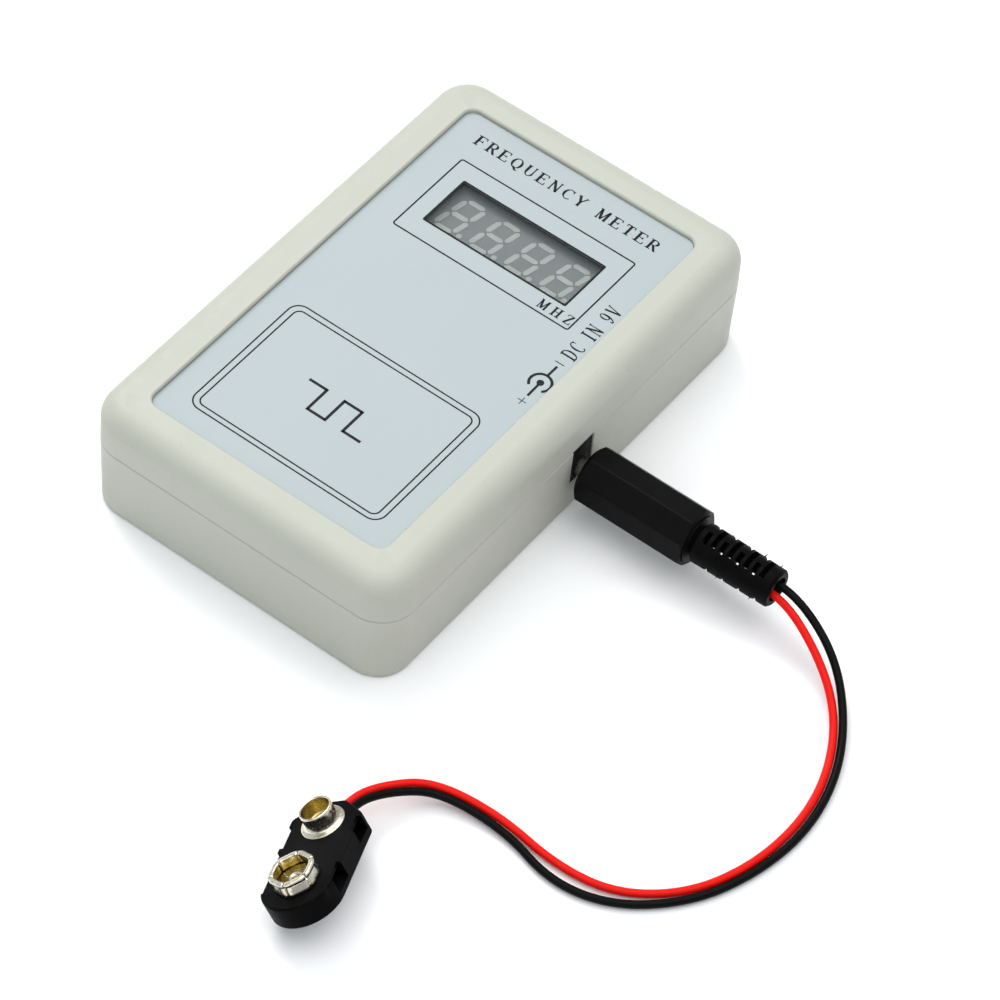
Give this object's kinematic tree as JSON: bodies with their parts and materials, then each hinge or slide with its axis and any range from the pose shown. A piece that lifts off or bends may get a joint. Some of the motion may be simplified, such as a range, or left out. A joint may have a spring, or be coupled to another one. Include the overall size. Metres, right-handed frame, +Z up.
{
  "type": "handheld frequency counter",
  "caption": "Small two-shell instrument case with a recessed label, a numeric LED readout behind a window, and a side power socket with a plug, two-wire lead and battery snap.",
  "frame": {"origin": "centre of the case's base, on the surface that the case stands on", "axes": "+Z up, +Y along the case towards the readout end, +X towards the power socket's side"},
  "size_m": [0.1334, 0.1506, 0.024],
  "materials": {
    "abs_top_cover": "fine matt, warm ivory grey ABS",
    "abs_bottom_cover": "fine matt, warm ivory grey ABS",
    "printed_label": "matt printed polycarbonate film, pale blue grey",
    "filter_window": "clear slightly smoky window plate",
    "zinc_screws": "zinc plated",
    "board_laminate": "green solder resist on laminate",
    "small_screws": "zinc plated",
    "display_face": "grey painted face",
    "unlit_segments": "milky diffuser, unlit",
    "display_pins": "tinned",
    "chip_mould_1": "black moulded epoxy",
    "chip_legs_1": "tinned",
    "chip_mould_2": "black moulded epoxy",
    "chip_legs_2": "tinned",
    "regulator_mould": "black moulded epoxy",
    "regulator_leads": "tinned",
    "crystal_metal": "drawn nickel silver can",
    "crystal_leads": "tinned",
    "capacitor_sleeve": "dark shrink sleeve",
    "capacitor_leads": "tinned",
    "resistor_body": "black glaze on alumina",
    "capacitor_body": "tan ceramic",
    "transistor_mould": "black moulded epoxy",
    "diode_mould": "black moulded epoxy",
    "loop_wire": "enamelled copper wire",
    "jack_mould": "black moulded nylon",
    "jack_pin": "nickel plated",
    "jack_spring": "nickel plated spring leaf",
    "jack_switch": "nickel plated",
    "plug_shell_mould": "black moulded, faint sheen",
    "relief_rubber": "black flexible PVC",
    "plug_collar_metal": "nickel plated, threaded",
    "plug_barrel_metal": "bright nickel",
    "plug_insulator_mould": "black nylon",
    "plug_contact_metal": "brass",
    "red_pvc": "red PVC insulation",
    "black_pvc": "black PVC insulation",
    "snap_mould": "black moulded, faint sheen",
    "snap_back_sheet": "black vinyl sheet",
    "cup_plating": "nickel plated brass",
    "crown_plating": "nickel plated spring brass",
    "negative_tag_metal": "tinned",
    "positive_tag_metal": "tinned"
  },
  "bodies": {
    "case": {"top_cover": "abs_top_cover", "bottom_cover": "abs_bottom_cover", "front_label": "printed_label", "display_window": "filter_window", "case_screws": "zinc_screws", "main_pcb": "board_laminate", "pcb_screws": "small_screws", "led_display_body": "display_face", "led_segments": "unlit_segments", "led_display_pins": "display_pins", "microcontroller_body": "chip_mould_1", "microcontroller_legs": "chip_legs_1", "prescaler_body": "chip_mould_2", "prescaler_legs": "chip_legs_2", "voltage_regulator": "regulator_mould", "regulator_legs": "regulator_leads", "crystal_can": "crystal_metal", "crystal_legs": "crystal_leads", "electrolytic_capacitors": "capacitor_sleeve", "capacitor_legs": "capacitor_leads", "chip_resistors": "resistor_body", "chip_capacitors": "capacitor_body", "digit_driver_transistors": "transistor_mould", "protection_diode": "diode_mould", "pickup_loop": "loop_wire", "dc_jack_body": "jack_mould", "dc_jack_centre_pin": "jack_pin", "dc_jack_spring_contact": "jack_spring", "dc_jack_switch_contact": "jack_switch"},
    "battery_lead": {"plug_shell": "plug_shell_mould", "plug_strain_relief": "relief_rubber", "plug_collar": "plug_collar_metal", "plug_barrel": "plug_barrel_metal", "plug_insulator": "plug_insulator_mould", "plug_centre_contact": "plug_contact_metal", "red_wire": "red_pvc", "black_wire": "black_pvc", "snap_housing": "snap_mould", "snap_back_cover": "snap_back_sheet", "snap_cup_contact": "cup_plating", "snap_crown_contact": "crown_plating", "snap_negative_tag": "negative_tag_metal", "snap_positive_tag": "positive_tag_metal"}
  },
  "joints": [
    {"name": "plug_slide", "type": "slide", "parent": "case", "child": "battery_lead", "axis": [1, 0, 0], "range_m": [-0.00165, 0.0125]}
  ]
}
